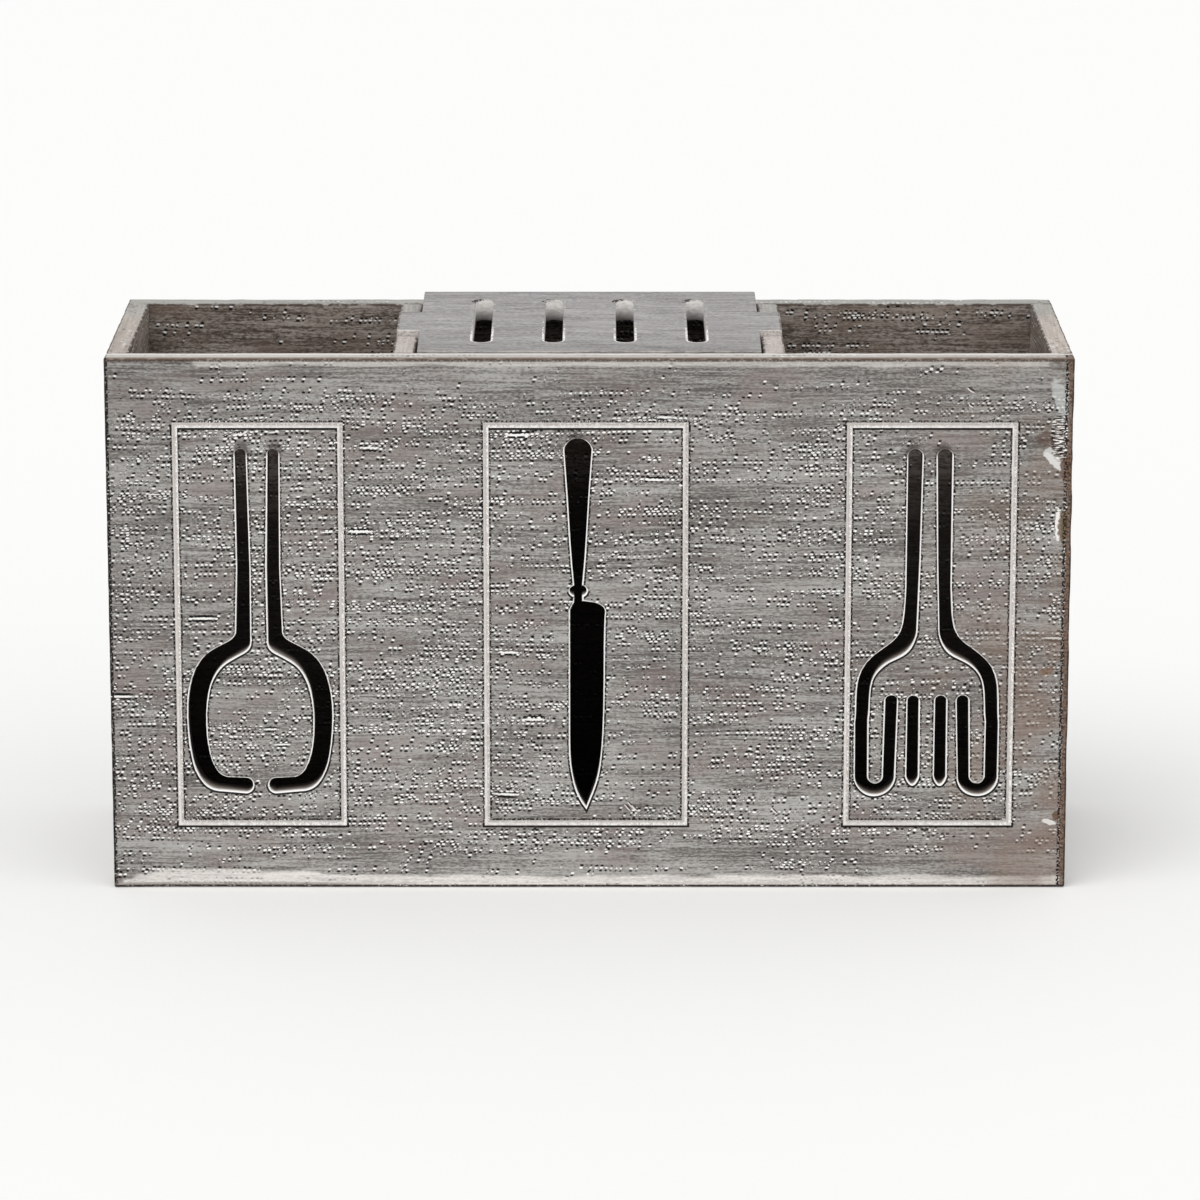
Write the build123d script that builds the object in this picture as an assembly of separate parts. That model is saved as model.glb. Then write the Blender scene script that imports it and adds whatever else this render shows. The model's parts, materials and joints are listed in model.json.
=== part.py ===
from build123d import *
import math
import os

# A wooden flatware organizer: an open box with three compartments side by side and a loose
# slotted plate for knives over the middle one. X runs along the front, to the right, Y to the
# back and Z up. The origin is on the underside, in the middle. Sizes are in millimetres.

# Outside of the box
box_length = 360.0
box_depth = 120.0
box_height = 204.0

# Boards
face_board = 10.0  # front and back boards
side_board = 8.4  # side boards
divider_board = 8.2  # dividers
floor_board = 8.0  # bottom board
plate_board = 8.2  # knife plate
edge_ease = 0.5  # rounded edges of every board

# Compartments
middle_room = 130.0  # clear width between the dividers

# Knife plate, which leans forward a little in its notches
plate_tilt = 2.65  # degrees
plate_stand = 2.8  # its top above the box's top, at mid depth
plate_gap = 0.8  # to the dividers
plate_end_gap = 0.5  # to the front and back boards
tab_length = 30.0  # front to back
tab_inset = 0.3  # tab's end behind the divider's outer face
notch_gap = 0.4  # before and behind a tab
seat_gap = 0.05  # under a tab
slot_count = 4
slot_pitch = 27.0
slot_width = 6.9
slot_margin = 14.5  # from the plate's front and back ends

# Engraved rectangles on the front board, one before each compartment
frame_width = 61.5
middle_frame_width = 74.4
frame_margin = 25.3  # from the board's top and bottom edges
groove_width = 2.0
groove_depth = 0.9
groove_floor = 0.4
left_frame_shift = -1.0  # from the middle of the compartment
middle_frame_shift = -1.3
right_frame_shift = 5.2

# Fretted tool shapes, cut right through the front board
spatula_width = 54.2
spatula_head = 63.0  # from the foot of the blade to the handle
spatula_foot = 12.0  # from the frame's bottom line to the blade
spatula_top = 9.2  # from the frame's top line to the handle's end
spatula_shift = -0.4
knife_blade = 80.2
knife_blade_width = 12.8
knife_handle_width = 10.2
knife_collar_width = 6.4
knife_collar_height = 4.4
knife_collar_rise = 3.7  # from the blade to the collar's middle
knife_neck_width = 3.0
knife_foot = 6.2
knife_top = 5.2
knife_shift = -2.9  # handle's middle from the frame's
fork_width = 53.8
fork_head = 64.0
fork_foot = 10.9
fork_top = 9.3
fork_shift = -0.7

# Brads: thin nails with small round heads, set just below the surface
brad_length = 28.0
brad_radius = 0.6
brad_head_radius = 1.1
brad_head_height = 0.8
brad_set = 0.4  # head's top below the board's face
brad_gap = 0.05  # between a brad and its hole
brad_count = 3  # in each upright row
brad_top_inset = 9.4
brad_bottom_inset = 24.0
floor_brad_count = 3  # along the front and the back
floor_brad_inset = 60.0
end_brad_count = 2  # along each side
end_brad_inset = 34.0

# Planes and places worked out from the sizes above
front_face = -box_depth / 2
back_face = box_depth / 2
inner_front = front_face + face_board
inner_back = back_face - face_board
right_face = box_length / 2
inner_right = right_face - side_board
divider_inner = middle_room / 2
divider_outer = divider_inner + divider_board
divider_middle = divider_inner + divider_board / 2
outer_room_middle = (divider_outer + inner_right) / 2
frame_height = box_height - 2 * frame_margin
frame_bottom = frame_margin
frame_top = box_height - frame_margin
plate_lean = plate_board * math.sin(math.radians(plate_tilt))  # of its end faces, bottom to top


def board(low, high):
    """A board between two corners, with eased edges."""
    size = [b - a for a, b in zip(low, high)]
    middle = [(a + b) / 2 for a, b in zip(low, high)]
    plank = Pos(*middle) * Box(*size)
    ease = min(edge_ease, min(size) / 4)
    return fillet(plank.edges(), ease)


def spread(first, last, count):
    """Evenly spaced places from first to last."""
    if count == 1:
        return [(first + last) / 2]
    return [first + (last - first) * i / (count - 1) for i in range(count)]


def brad(place, direction, slack=0.0):
    """A brad driven along direction from a place on a board's face; slack makes its hole."""
    axis = Plane(origin=place, z_dir=direction)
    mouth = 0.0 if slack else brad_set
    head_depth = brad_set + brad_head_height + slack
    head = Pos(0, 0, (mouth + head_depth) / 2) * Cylinder(brad_head_radius + slack, head_depth - mouth)
    shank_length = brad_length + slack - brad_set
    shank = Pos(0, 0, brad_set + shank_length / 2) * Cylinder(brad_radius + slack, shank_length)
    return axis * (head + shank)


def brad_rows():
    """Every row of brads: its name, the places of the heads and the way they are driven."""
    upright = spread(brad_bottom_inset, box_height - brad_top_inset, brad_count)
    along = spread(floor_brad_inset - right_face, right_face - floor_brad_inset, floor_brad_count)
    across = spread(front_face + end_brad_inset, back_face - end_brad_inset, end_brad_count)
    floor_level = floor_board / 2
    rows = {}
    for end, face, inward in (("front", front_face, 1), ("rear", back_face, -1)):
        for side, sign in (("left", -1), ("right", 1)):
            corner = sign * (right_face - side_board / 2)
            rows[f"{side}_{end}_brads"] = ([(corner, face, z) for z in upright], (0, inward, 0))
            middle = sign * divider_middle
            rows[f"{side}_divider_{end}_brads"] = ([(middle, face, z) for z in upright], (0, inward, 0))
        rows[f"{end}_floor_brads"] = ([(x, face, floor_level) for x in along], (0, inward, 0))
    for side, sign in (("left", -1), ("right", 1)):
        places = [(sign * right_face, y, floor_level) for y in across]
        rows[f"{side}_floor_brads"] = (places, (-sign, 0, 0))
    return rows


def drilled(plank, rows, names):
    """A board with the holes of the named rows of brads."""
    for name in names:
        places, direction = rows[name]
        for place in places:
            plank -= brad(place, direction, brad_gap)
    return plank


def on_front(outline, x, z):
    """An outline drawn on the front face, with its own origin at x, z."""
    return Plane.XZ.offset(-front_face) * Pos(x, z) * outline


def cut_through(outline, x, z):
    """The cutter of a fretted shape."""
    return extrude(on_front(outline, x, z), -face_board)


def groove(width, height):
    """A groove around a rectangle, wide at the face and narrow at its floor, as four-sided rings."""
    def level(inset, depth):
        rectangle = Rectangle(width + inset, height + inset)
        return Pos(0, 0, -depth) * rectangle

    outer = loft([level(groove_width, 0), level(groove_floor, groove_depth)])
    island = loft([level(-groove_width, 0), level(-groove_floor, groove_depth)])
    return outer - island


def frame_groove(x, width):
    """The engraved rectangle of one panel, sunk into the front face."""
    middle_height = (frame_bottom + frame_top) / 2
    return Plane.XZ.offset(-front_face) * Pos(x, middle_height) * groove(width, frame_height)


def both_sides(half):
    """A shape and its mirror image about the upright line x = 0."""
    return half + mirror(half, Plane.YZ)


def spatula_outline(reach):
    """A spatula in outline, drawn as two strokes that leave bridges at its foot and up its handle.

    The origin is at the foot of the blade, and reach is the height of the handle's end.
    Points are given as shares of half the blade's width and of the height of its head.
    """
    def at(across, up):
        return (across * spatula_width / 2, up * spatula_head)

    def handle(across, share):
        return (across * spatula_width / 2, spatula_head + share * (handle_end - spatula_head))

    end_inner, end_outer = 0.15, 0.3
    handle_end = reach - (end_outer - end_inner) * spatula_width / 4
    half = make_face(Wire([
        Line(at(0.124, 0.93), handle(0.119, 0.35)),
        Line(handle(0.119, 0.35), handle(end_inner, 1)),
        ThreePointArc(handle(end_inner, 1), (at(0.225, 0)[0], reach), handle(end_outer, 1)),
        Line(handle(end_outer, 1), handle(0.29, 0.35)),
        Line(handle(0.29, 0.35), at(0.317, 1.0)),
        Spline(at(0.317, 1.0), at(0.351, 0.952), at(0.461, 0.918), at(0.701, 0.859), at(0.871, 0.768),
               at(0.967, 0.643), at(1.0, 0.46), at(0.967, 0.278), at(0.893, 0.137), at(0.768, 0.051),
               at(0.535, 0.013)),
        Line(at(0.535, 0.013), at(0.209, 0.0)),
        ThreePointArc(at(0.209, 0.0), at(0.112, 0.044), at(0.209, 0.087)),
        Line(at(0.209, 0.087), at(0.424, 0.09)),
        Spline(at(0.424, 0.09), at(0.568, 0.113), at(0.664, 0.178), at(0.723, 0.27), at(0.753, 0.429),
               at(0.738, 0.556), at(0.664, 0.69), at(0.502, 0.789), at(0.273, 0.849), at(0.17, 0.879),
               at(0.124, 0.93)),
    ]))
    return both_sides(half)


def knife_outline(reach):
    """A table knife cut out whole: a tapering handle, a collar and a blade with its edge to the left.

    The origin is under the blade's tip, in line with the handle, and reach is the handle's end.
    The blade's points are shares of its width and height, the handle's of its half width and length.
    """
    def at(across, up):
        return (across * knife_blade_width, up * knife_blade)

    collar = knife_blade + knife_collar_rise
    handle = reach - collar
    grip = [(0.294, 0.04), (0.4, 0.14), (0.56, 0.33), (0.71, 0.56), (0.89, 0.8), (1.0, 0.93)]
    right = [(across * knife_handle_width / 2, collar + handle * up) for across, up in grip]
    left = [(-across, up) for across, up in right]
    handle_shape = make_face(Wire([
        Spline(*right),
        ThreePointArc(right[-1], (0, reach), left[-1]),
        Spline(*reversed(left)),
        Line(left[0], right[0]),
    ]))
    collar_shape = Pos(0, collar) * Ellipse(knife_collar_width / 2, knife_collar_height / 2)
    neck_height = 2.2 * knife_collar_rise
    neck = Pos(0, collar - 0.2 * knife_collar_rise) * Rectangle(knife_neck_width, neck_height)
    blade = make_face(Wire([
        Line(at(-0.235, 0.953), at(-0.238, 0.34)),
        Spline(at(-0.238, 0.34), at(-0.211, 0.216), at(-0.113, 0.121), at(0.08, 0.038), at(0.234, 0.0)),
        Spline(at(0.234, 0.0), at(0.367, 0.054), at(0.499, 0.113), at(0.625, 0.204), at(0.706, 0.342),
               at(0.748, 0.646), at(0.777, 0.928)),
        Spline(at(0.777, 0.928), at(0.745, 0.963), at(0.58, 0.982), at(0.28, 0.992), at(0.1, 0.996)),
        Line(at(0.1, 0.996), at(-0.113, 0.991)),
        Line(at(-0.113, 0.991), at(-0.235, 0.953)),
    ]))
    return handle_shape + collar_shape + neck + blade


def fork_outline(reach):
    """A broad fork in outline, with two bent strokes and two slots between the middle tines.

    The origin is at the foot of the outer strokes, and reach is the height of the handle's end.
    Points are given as shares of half the fork's width and of the height of its head.
    """
    def at(across, up):
        return (across * fork_width / 2, up * fork_head)

    def handle(across, share):
        return (across * fork_width / 2, fork_head + share * (handle_end - fork_head))

    end_inner, end_outer = 0.105, 0.305
    handle_end = reach - (end_outer - end_inner) * fork_width / 4
    half = make_face(Wire([
        Line(at(0.16, 1.009), handle(0.13, 0.4)),
        Line(handle(0.13, 0.4), handle(end_inner, 1)),
        ThreePointArc(handle(end_inner, 1), (at(0.205, 0)[0], reach), handle(end_outer, 1)),
        Line(handle(end_outer, 1), handle(0.307, 0.25)),
        Spline(handle(0.307, 0.25), at(0.331, 1.083), at(0.416, 0.963), at(0.632, 0.883),
               at(0.796, 0.826), at(0.929, 0.741), at(0.985, 0.586), at(1.0, 0.438)),
        Line(at(1.0, 0.438), at(0.996, 0.125)),
        ThreePointArc(at(0.996, 0.125), at(0.721, 0.0), at(0.446, 0.125)),
        Line(at(0.446, 0.125), at(0.416, 0.569)),
        ThreePointArc(at(0.416, 0.569), at(0.498, 0.605), at(0.58, 0.569)),
        Line(at(0.58, 0.569), at(0.602, 0.117)),
        ThreePointArc(at(0.602, 0.117), at(0.714, 0.067), at(0.825, 0.117)),
        Line(at(0.825, 0.117), at(0.829, 0.453)),
        Spline(at(0.829, 0.453), at(0.81, 0.586), at(0.751, 0.72), at(0.576, 0.802), at(0.316, 0.864),
               at(0.182, 0.95), at(0.16, 1.009)),
    ]))
    tine = make_face(Wire([
        Line(at(0.112, 0.125), at(0.115, 0.569)),
        ThreePointArc(at(0.115, 0.569), at(0.193, 0.603), at(0.271, 0.569)),
        Line(at(0.271, 0.569), at(0.274, 0.125)),
        Spline(at(0.274, 0.125), at(0.25, 0.086), at(0.193, 0.063), at(0.136, 0.086), at(0.112, 0.125)),
    ]))
    return both_sides(half + tine)


def front_board(rows):
    """The full-width front board, fretted, engraved and drilled."""
    plank = board((-right_face, front_face, 0), (right_face, inner_front, box_height))
    left = left_frame_shift - outer_room_middle
    right = right_frame_shift + outer_room_middle
    for x, width in ((left, frame_width), (middle_frame_shift, middle_frame_width), (right, frame_width)):
        plank -= frame_groove(x, width)
    spatula = spatula_outline(frame_height - spatula_foot - spatula_top)
    knife = knife_outline(frame_height - knife_foot - knife_top)
    fork = fork_outline(frame_height - fork_foot - fork_top)
    plank -= cut_through(spatula, left + spatula_shift, frame_bottom + spatula_foot)
    plank -= cut_through(knife, middle_frame_shift + knife_shift, frame_bottom + knife_foot)
    plank -= cut_through(fork, right + fork_shift, frame_bottom + fork_foot)
    return drilled(plank, rows, [name for name in rows if "front" in name])


def back_board(rows):
    """The plain full-width back board."""
    plank = board((-right_face, inner_back, 0), (right_face, back_face, box_height))
    return drilled(plank, rows, [name for name in rows if "rear" in name])


def side_plank(sign, side, rows):
    """A side board between the front and back boards."""
    edges = sorted((sign * inner_right, sign * right_face))
    plank = board((edges[0], inner_front, 0), (edges[1], inner_back, box_height))
    return drilled(plank, rows, [f"{side}_front_brads", f"{side}_rear_brads", f"{side}_floor_brads"])


def bottom_board(rows):
    """The bottom board, inside the four walls."""
    plank = board((-inner_right, inner_front, 0), (inner_right, inner_back, floor_board))
    return drilled(plank, rows, [name for name in rows if "floor" in name])


def leaning(piece):
    """A piece drawn with its top at the box's top, set at the knife plate's height and lean."""
    return Pos(0, 0, box_height + plate_stand) * Rot(plate_tilt, 0, 0) * piece


def tab_notch():
    """The cutter of the notches, as deep as the tabs need and open at the top."""
    notch_half = tab_length / 2 + plate_lean + notch_gap
    floor_depth = plate_board + seat_gap
    long = 2 * divider_outer + 2 * side_board
    below = leaning(Pos(0, 0, -floor_depth + plate_board) * Box(long, 4 * tab_length, 2 * plate_board))
    column = Pos(0, 0, box_height) * Box(long, 2 * notch_half, 4 * plate_board)
    return below & column


def divider(sign, side, rows):
    """A divider on the bottom board, with a notch in its top edge for the knife plate's tab."""
    edges = sorted((sign * divider_inner, sign * divider_outer))
    plank = board((edges[0], inner_front, floor_board), (edges[1], inner_back, box_height))
    plank -= tab_notch()
    return drilled(plank, rows, [f"{side}_divider_front_brads", f"{side}_divider_rear_brads"])


def knife_plate():
    """The loose plate: a slotted board with a tab at each side."""
    half_width = divider_inner - plate_gap
    half_length = (inner_back - inner_front) / 2 - plate_lean - plate_end_gap
    body = board((-half_width, -half_length, -plate_board), (half_width, half_length, 0))
    reach = divider_outer - tab_inset
    tabs = board((-reach, -tab_length / 2, -plate_board), (reach, tab_length / 2, 0))
    plate = body + tabs
    slot = SlotOverall(2 * (half_length - slot_margin), slot_width, rotation=90)
    for x in spread(-slot_pitch / 2 * (slot_count - 1), slot_pitch / 2 * (slot_count - 1), slot_count):
        plate -= extrude(Pos(x, 0, -plate_board) * slot, plate_board)
    return leaning(plate)


def organizer():
    """Every sub-part by its name."""
    rows = brad_rows()
    parts = {
        "front_board": front_board(rows),
        "back_board": back_board(rows),
        "left_side_board": side_plank(-1, "left", rows),
        "right_side_board": side_plank(1, "right", rows),
        "bottom_board": bottom_board(rows),
        "left_divider": divider(-1, "left", rows),
        "right_divider": divider(1, "right", rows),
        "knife_plate": knife_plate(),
    }
    for name, (places, direction) in rows.items():
        parts[name] = Compound([brad(place, direction) for place in places])
    return parts


os.makedirs("parts", exist_ok=True)
for name, shape in organizer().items():
    shape.label = name
    export_step(shape, f"parts/{name}.step")
    size = shape.bounding_box().size
    print(f"{name}: {len(shape.solids())} solid(s), {size.X:.1f} x {size.Y:.1f} x {size.Z:.1f}")
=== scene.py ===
# %% [markdown]
# # A grey-washed wooden flatware organizer
#
# The real box is nailed together from planed boards. Its front is fretted with three tools, each in an
# engraved rectangle, and a loose slotted plate for knives lies over the middle compartment. The packed
# CAD model gives every board its size and place. This scene gives the boards their worn edges, their
# cut mouths and their thin grey wash.

import bmesh
import bpy
import json
import math
from bmesh.types import BMEdge, BMFace, BMVert
from mathutils import Matrix, Vector, noise

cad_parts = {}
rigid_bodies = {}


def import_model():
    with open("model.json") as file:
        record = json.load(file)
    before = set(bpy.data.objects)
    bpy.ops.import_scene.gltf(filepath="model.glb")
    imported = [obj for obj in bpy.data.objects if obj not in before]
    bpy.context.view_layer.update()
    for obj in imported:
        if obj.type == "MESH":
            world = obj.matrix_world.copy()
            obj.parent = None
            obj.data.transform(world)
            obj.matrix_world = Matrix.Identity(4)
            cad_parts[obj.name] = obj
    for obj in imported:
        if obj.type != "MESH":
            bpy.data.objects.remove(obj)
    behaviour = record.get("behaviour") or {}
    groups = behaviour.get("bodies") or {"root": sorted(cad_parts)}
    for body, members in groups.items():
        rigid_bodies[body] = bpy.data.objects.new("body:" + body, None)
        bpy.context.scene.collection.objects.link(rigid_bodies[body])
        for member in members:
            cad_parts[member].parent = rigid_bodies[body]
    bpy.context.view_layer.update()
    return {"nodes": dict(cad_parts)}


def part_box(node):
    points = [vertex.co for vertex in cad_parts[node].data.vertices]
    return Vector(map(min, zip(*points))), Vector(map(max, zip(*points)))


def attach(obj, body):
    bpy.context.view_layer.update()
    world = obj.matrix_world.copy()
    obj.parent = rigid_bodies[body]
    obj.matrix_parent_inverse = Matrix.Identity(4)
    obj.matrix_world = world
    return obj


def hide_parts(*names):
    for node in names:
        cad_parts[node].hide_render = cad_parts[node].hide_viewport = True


for thing in list(bpy.data.objects):
    bpy.data.objects.remove(thing)
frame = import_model()
mm = 0.001

# %% [markdown]
# ## Camera
#
# The photograph was taken from in front and a little above, from two metres away, through a long lens.
# The upright edges stay upright, so the camera only looks down and isn't shifted or rolled.

# %% Camera
camera_place = Vector((4.0, -2100.6, 604.6)) * mm
camera_pitch = math.radians(13.574)
lens = bpy.data.cameras.new("photo_lens")
lens.sensor_width = 36.0
lens.lens = 168.27
lens.clip_start = 0.05
lens.clip_end = 60.0
camera = bpy.data.objects.new("photo_camera", lens)
camera.location = camera_place
camera.rotation_euler = (math.pi / 2 - camera_pitch, 0, 0)
bpy.context.scene.collection.objects.link(camera)
bpy.context.scene.camera = camera
print("camera at", [round(v, 3) for v in camera.location])

# %% [markdown]
# ## Floor and light
#
# A product photograph is lit by big soft sources on a white sheet. A white world does most of it, and
# two wide suns give the faces their slight difference: suns, because unlike a lamp near the box they
# light the whole floor evenly. The Standard view keeps white paper white.

# %% Floor and light
def paint(red, green, blue):
    """A colour given as seen on a screen, 0 to 255, in the linear numbers that shaders use."""
    def linear(value):
        share = value / 255
        return share / 12.92 if share <= 0.04045 else ((share + 0.055) / 1.055) ** 2.4
    return (linear(red), linear(green), linear(blue), 1.0)


def sun(name, strength, wide, elevation, azimuth):
    """A soft sun: how high it stands and how far round from the front, in degrees."""
    lamp = bpy.data.lights.new(name, "SUN")
    lamp.energy = strength
    lamp.angle = math.radians(wide)
    lit = bpy.data.objects.new(name, lamp)
    high, round_ = math.radians(elevation), math.radians(azimuth)
    level = math.cos(high)
    back = Vector((math.sin(round_) * level, -math.cos(round_) * level, math.sin(high)))
    lit.rotation_euler = back.to_track_quat("Z", "Y").to_euler()
    bpy.context.scene.collection.objects.link(lit)


bpy.context.scene.view_settings.view_transform = "Standard"
world = bpy.data.worlds.new("studio")
world.use_nodes = True
sky = world.node_tree.nodes["Background"].inputs
sky["Color"].default_value = (1.0, 1.0, 1.0, 1.0)
sky["Strength"].default_value = 0.74
bpy.context.scene.world = world
sun("key_light", 0.95, 45, 58, -35)
sun("fill_light", 0.35, 60, 40, 50)

sheet = bmesh.new()
bmesh.ops.create_grid(sheet, x_segments=1, y_segments=1, size=9.0)
bmesh.ops.translate(sheet, vec=(0, 0, -0.2 * mm), verts=sheet.verts)
floor_mesh = bpy.data.meshes.new("studio_floor")
sheet.to_mesh(floor_mesh)
sheet.free()
floor = bpy.data.objects.new("studio_floor", floor_mesh)
bpy.context.scene.collection.objects.link(floor)
paper = bpy.data.materials.new("white_paper")
paper.use_nodes = True
paper_shader = paper.node_tree.nodes["Principled BSDF"].inputs
paper_shader["Base Color"].default_value = paint(246, 246, 245)
paper_shader["Roughness"].default_value = 0.9
paper_shader["Specular IOR Level"].default_value = 0.1
floor_mesh.materials.append(paper)
print("floor", floor.dimensions[:])

# %% [markdown]
# ## Small tools for nodes
#
# A finish is a tree of small nodes. These helpers add a node, set or link its inputs, and hand back the
# socket that the next one needs, so that each finish below reads from top to bottom. A new node goes
# into the tree that its first linked input comes from.

# %% Tools for nodes
def feed(socket, source):
    """Links a source to an input socket, or sets the input to a plain value."""
    if isinstance(source, bpy.types.NodeSocket):
        socket.id_data.links.new(source, socket)
    else:
        socket.default_value = source


def add(tree, kind, inputs=None, **settings):
    """A new shader node with its settings, and its inputs fed by name or number."""
    node = tree.nodes.new("ShaderNode" + kind)
    for name, value in settings.items():
        setattr(node, name, value)
    for name, source in (inputs or {}).items():
        feed(node.inputs[name], source)
    return node


def calculate(operation, first, second=0.0):
    """One step of arithmetic, in the tree of the value that comes from a node."""
    tree = next(value.id_data for value in (first, second) if isinstance(value, bpy.types.NodeSocket))
    return add(tree, "Math", {0: first, 1: second}, operation=operation).outputs[0]


def chained(operation):
    """Arithmetic on any number of values, from left to right."""
    def work(first, *rest):
        for value in rest:
            first = calculate(operation, first, value)
        return first
    return work


times, plus, minus = chained("MULTIPLY"), chained("ADD"), chained("SUBTRACT")
largest, smallest = chained("MAXIMUM"), chained("MINIMUM")


def move(operation, first, second=(0, 0, 0)):
    """One step of arithmetic with places."""
    return add(first.id_data, "VectorMath", {0: first, 1: second}, operation=operation).outputs[0]


def parts(place):
    """The three numbers of a place."""
    return add(place.id_data, "SeparateXYZ", {0: place}).outputs


def facing_of(place):
    """Which way the surface faces, as three numbers, in the tree of a place."""
    return parts(add(place.id_data, "TexCoord").outputs["Normal"])


def between(value, low, high, start=0.0, end=1.0):
    """A soft step: start where the value is low, end where it is high."""
    inputs = {"Value": value, "From Min": low, "From Max": high, "To Min": start, "To Max": end}
    return add(value.id_data, "MapRange", inputs, interpolation_type="SMOOTHSTEP").outputs["Result"]


def spots(place, sizes, detail=2.0, roughness=0.5):
    """Noise whose spots have the given size along each axis, in millimetres."""
    scaled = move("MULTIPLY", place, [1 / size for size in sizes])
    inputs = {"Vector": scaled, "Scale": 1.0, "Detail": detail, "Roughness": roughness}
    return add(place.id_data, "TexNoise", inputs).outputs["Fac"]


def length(offset, sizes):
    """How far away an offset reaches, in units of the given sizes."""
    inputs = {0: move("DIVIDE", offset, sizes)}
    return add(offset.id_data, "VectorMath", inputs, operation="LENGTH").outputs["Value"]


def blend(share, first, second):
    """Two colours mixed by a share; each is linked, or given as seen on a screen."""
    node = add(share.id_data, "Mix", {0: share}, data_type="RGBA")
    for number, color in ((6, first), (7, second)):
        feed(node.inputs[number], paint(*color) if isinstance(color, tuple) else color)
    return node.outputs[2]


def brushed(color, bare, *shares):
    """A colour with a bare one brushed over it, as strongly as the product of the shares."""
    return blend(times(*shares), color, bare)


def marked(color, marks):
    """A colour with marks brushed over it, each given as its own colour and its shares."""
    for bare, *shares in marks:
        color = brushed(color, bare, *shares)
    return color


def dimmed(color, share):
    """A colour multiplied by one number."""
    return add(color.id_data, "VectorMath", {0: color, "Scale": share}, operation="SCALE").outputs[0]


def new_group(name, inputs, outputs):
    """An empty node group with named inputs and outputs, and its two end nodes."""
    group = bpy.data.node_groups.new(name, "ShaderNodeTree")
    for label, kind, value in inputs:
        socket = group.interface.new_socket(name=label, in_out="INPUT", socket_type="NodeSocket" + kind)
        socket.default_value = value
    for label, kind in outputs:
        group.interface.new_socket(name=label, in_out="OUTPUT", socket_type="NodeSocket" + kind)
    return group, group.nodes.new("NodeGroupInput").outputs, group.nodes.new("NodeGroupOutput").inputs


def use_group(group, inputs):
    """A group in the tree that its place comes from, with its own values."""
    node = inputs["Place"].id_data.nodes.new("ShaderNodeGroup")
    node.node_tree = group
    for name, source in inputs.items():
        feed(node.inputs[name], source)
    return node.outputs


print("node tools ready")

# %% [markdown]
# ## Grain
#
# The boards are of a pale, open-grained wood. Along the grain everything is long and across it
# everything is thin, so each pattern is noise that is stretched along the grain: broad bands, fine
# lines and short fibres.

# %% Grain group
grain, given, made = new_group(
    "wood grain",
    [("Place", "Vector", (0, 0, 0))],
    [("Wavy", "Vector"), ("Bands", "Float"), ("Lines", "Float"), ("Fibres", "Float")])
drift = minus(spots(given["Place"], (90, 30, 30), detail=1), 0.5)
uneven = minus(spots(given["Place"], (60, 9, 3.2), detail=1), 0.5)
lift = plus(times(drift, 4.0), times(uneven, 0.9))
wavy = move("ADD", given["Place"], add(grain, "CombineXYZ", {"Z": lift}).outputs[0])
feed(made["Wavy"], wavy)
feed(made["Bands"], spots(wavy, (70, 9, 9), detail=3, roughness=0.55))
feed(made["Lines"], spots(wavy, (20, 0.85, 0.85), detail=3, roughness=0.65))
feed(made["Fibres"], spots(wavy, (1.7, 0.6, 0.6), detail=2, roughness=0.6))
print("grain group:", len(grain.nodes), "nodes")

# %% [markdown]
# ## Pores
#
# The wash has filled some of the open pores white; others are painted black as painted shade in the open
# pore.
# They sit in short rows along the grain like beads on a string, so the wood is divided into rows of small
# cells, and a cell either holds one bead or none. That is decided at the middle of the cell, from noise that
# makes rows and clumps, so every bead is whole. Its size and place are the cell's own random numbers.

# %% Bead group
beads, given, made = new_group(
    "pore beads",
    [("Place", "Vector", (0, 0, 0)), ("Cell", "Vector", (1.9, 1.3, 1.05)),
     ("Half Size", "Vector", (0.74, 0.9, 0.37)), ("Limit", "Float", 1.0)],
    [("Bead", "Float"), ("Lot", "Float")])
in_cells = move("DIVIDE", given["Place"], given["Cell"])
row = calculate("FLOOR", parts(in_cells)["Z"])
slide = times(add(beads, "TexWhiteNoise", {"W": row}, noise_dimensions="1D").outputs["Value"], 9.0)
slid = add(beads, "CombineXYZ", {"X": slide}).outputs[0]
number = move("FLOOR", move("ADD", in_cells, slid))
lots = add(beads, "TexWhiteNoise", {"Vector": number}).outputs["Color"]
lot = add(beads, "SeparateColor", {0: lots}).outputs
middle = move("SUBTRACT", move("ADD", number, (0.5, 0.5, 0.5)), slid)
home = move("MULTIPLY", middle, given["Cell"])
aside = move("MULTIPLY", move("SUBTRACT", lots, (0.5, 0.5, 0.5)),
             move("MULTIPLY", given["Cell"], (0.24, 0.0, 0.2)))
offset = move("SUBTRACT", given["Place"], move("ADD", home, aside))
size = between(lot["Green"], 0.0, 1.0, 0.6, 1.2)
torn = times(spots(given["Place"], (0.9, 3, 0.5), detail=1), 0.9)
away = calculate("DIVIDE", length(offset, given["Half Size"]), size)
away = plus(away, minus(torn, 0.45))
rows = times(spots(home, (55, 4, 1.25), detail=2), 1.7)
clumps = times(spots(home, (36, 30, 11), detail=1), 0.4)
chance = plus(rows, plus(clumps, times(lot["Red"], 0.32)))
chosen = calculate("GREATER_THAN", chance, given["Limit"])
feed(made["Bead"], times(chosen, between(away, 1.05, 0.75)))
feed(made["Lot"], lot["Blue"])
print("bead group:", len(beads.nodes), "nodes")
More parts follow.
